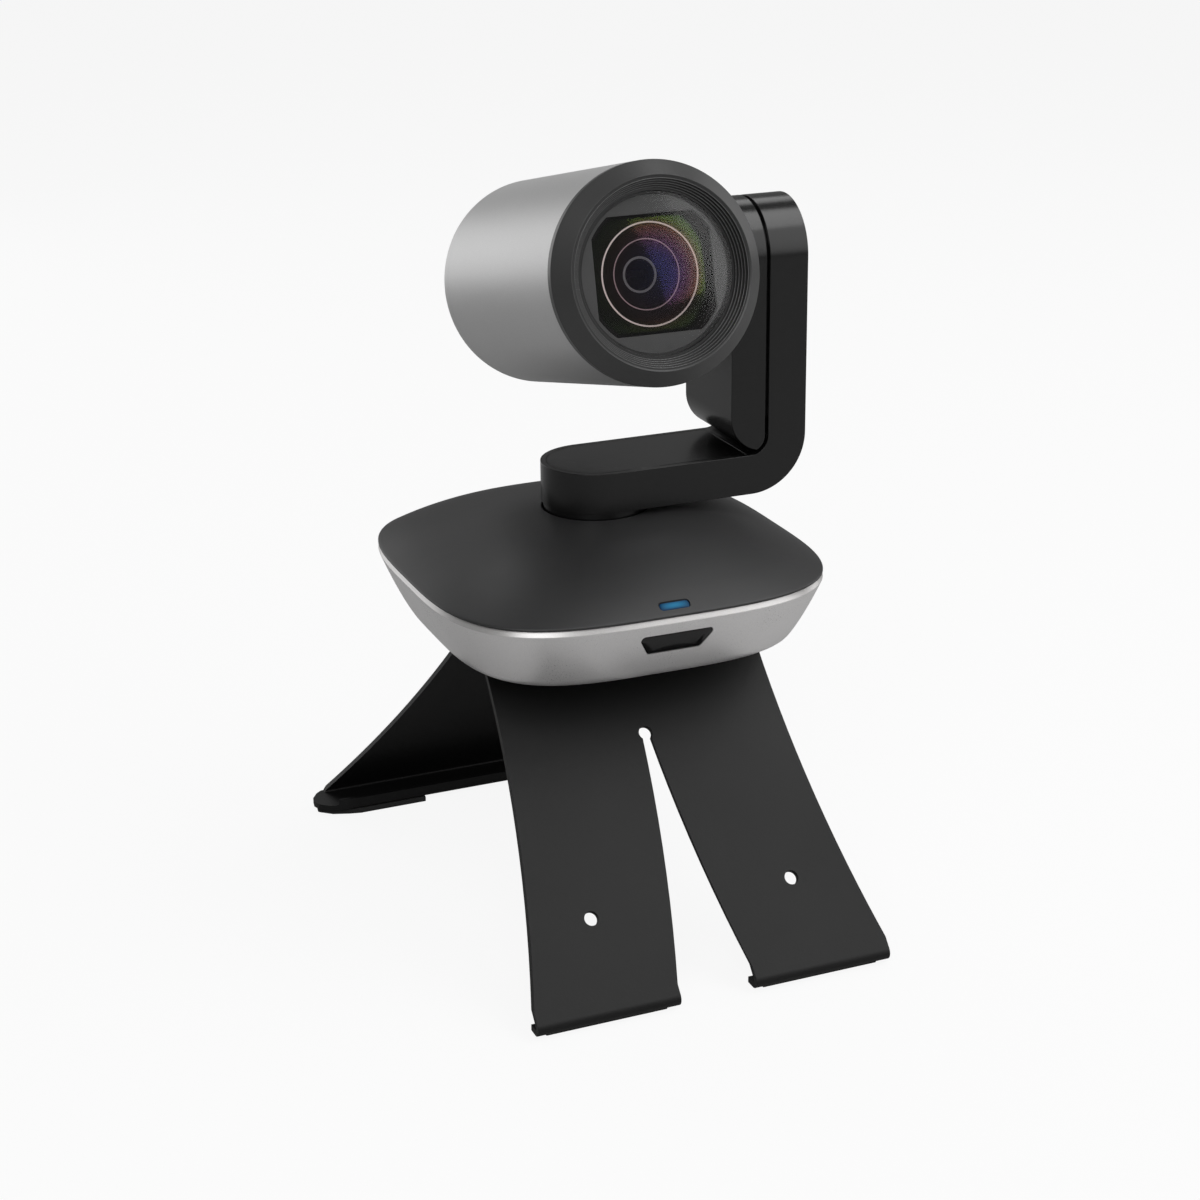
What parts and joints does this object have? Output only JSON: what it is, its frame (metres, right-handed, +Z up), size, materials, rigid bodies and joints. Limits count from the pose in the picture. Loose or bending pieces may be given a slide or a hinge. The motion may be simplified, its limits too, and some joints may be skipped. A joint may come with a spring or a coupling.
{
  "type": "pan-tilt-zoom webcam",
  "caption": "Motorised webcam with a barrel head tilting on one arm over a panning base, on a folded-sheet stand.",
  "frame": {"origin": "on the floor under the middle of the footprint box at rest", "axes": "+Z up, -Y towards the lens's side, +X towards the upright arm"},
  "size_m": [0.1424, 0.1886, 0.2504],
  "materials": {
    "cover_plastic": "satin graphite",
    "silver_plastic": "satin silver paint",
    "arm_plastic": "satin black",
    "sheet": "matte black powder coat",
    "steel": "zinc plated",
    "brass": "turned",
    "board": "green laminate",
    "black_plastic": "moulded black",
    "gear_plastic": "acetal",
    "window": "coated glass",
    "lens": "coated glass",
    "dark_window": "infrared-clear black",
    "light": "blue light guide",
    "mask": "grey",
    "rubber": "matte"
  },
  "bodies": {
    "base": {"base_cover": "cover_plastic", "base_housing": "silver_plastic", "bottom_plate": "cover_plastic", "base_pad": "rubber", "tripod_insert": "brass", "status_light": "light", "remote_window": "dark_window", "main_board": "board", "front_board": "board", "power_socket": "black_plastic", "data_socket": "black_plastic", "chassis_plate": "steel", "pan_bearing": "brass", "pan_motor": "steel", "base_screws": "steel", "front_stand": "sheet", "rear_stand": "sheet", "stand_rivets": "steel", "camera_screw": "black_plastic", "front_pads": "rubber", "rear_pads": "rubber"},
    "pan_pinion": {"pan_pinion": "brass"},
    "arm": {"arm_frame": "arm_plastic", "bar_lid": "arm_plastic", "tilt_housing": "arm_plastic", "tilt_bearing": "brass", "tilt_motor": "steel", "arm_screws": "steel", "pan_shaft": "arm_plastic", "pan_clip": "steel", "pan_gear": "gear_plastic"},
    "tilt_pinion": {"tilt_pinion": "brass"},
    "head": {"barrel_tube": "silver_plastic", "rear_cap": "silver_plastic", "front_bezel": "black_plastic", "front_window": "window", "aperture_mask": "mask", "lens_tube": "black_plastic", "front_lens": "lens", "lens_frame": "black_plastic", "guide_rods": "steel", "zoom_motor": "steel", "focus_motor": "steel", "sensor_board": "board", "image_sensor": "black_plastic", "tilt_shaft": "steel", "tilt_gear": "gear_plastic", "head_screws": "steel"},
    "zoom_unit": {"zoom_carriage": "black_plastic", "zoom_lens": "lens"},
    "focus_unit": {"focus_carriage": "black_plastic", "focus_lens": "lens"},
    "zoom_lead": {"zoom_screw": "steel"},
    "focus_lead": {"focus_screw": "steel"}
  },
  "joints": [
    {"name": "pan", "type": "hinge", "parent": "base", "child": "arm", "pos_m": [0.00475, 0.00133, 0.1341], "axis": [0, 0, 1], "range_deg": [-130, 130]},
    {"name": "pan_pinion_spin", "type": "hinge", "parent": "base", "child": "pan_pinion", "pos_m": [-0.0224, -0.02583, 0.1215], "axis": [0, 0, 1], "range_deg": [-651, 651]},
    {"name": "tilt", "type": "hinge", "parent": "arm", "child": "head", "pos_m": [0.00475, 0.00133, 0.2105], "axis": [-1, 0, 0], "range_deg": [-52.9, 77.1]},
    {"name": "tilt_pinion_spin", "type": "hinge", "parent": "arm", "child": "tilt_pinion", "pos_m": [0.05775, 0.00133, 0.193], "axis": [-1, 0, 0], "range_deg": [-309, 212]},
    {"name": "zoom", "type": "slide", "parent": "head", "child": "zoom_unit", "axis": [0, 0.9748, -0.2233], "range_m": [0, 0.014]},
    {"name": "focus", "type": "slide", "parent": "head", "child": "focus_unit", "axis": [0, 0.9748, -0.2233], "range_m": [0, 0.006]},
    {"name": "zoom_screw_spin", "type": "hinge", "parent": "head", "child": "zoom_lead", "pos_m": [0.00475, -0.00211, 0.19549], "axis": [0, 0.9748, -0.2233], "range_deg": [-1, 2521]},
    {"name": "focus_screw_spin", "type": "hinge", "parent": "head", "child": "focus_lead", "pos_m": [0.00475, 0.00302, 0.21791], "axis": [0, 0.9748, -0.2233], "range_deg": [-1, 1081]}
  ],
  "couplings": [
    {"joint": "pan_pinion_spin", "follows": "pan", "ratio": -5},
    {"joint": "tilt_pinion_spin", "follows": "tilt", "ratio": -4},
    {"joint": "zoom_screw_spin", "follows": "zoom", "rad_per_m": 3141.6},
    {"joint": "focus_screw_spin", "follows": "focus", "rad_per_m": 3141.6}
  ]
}
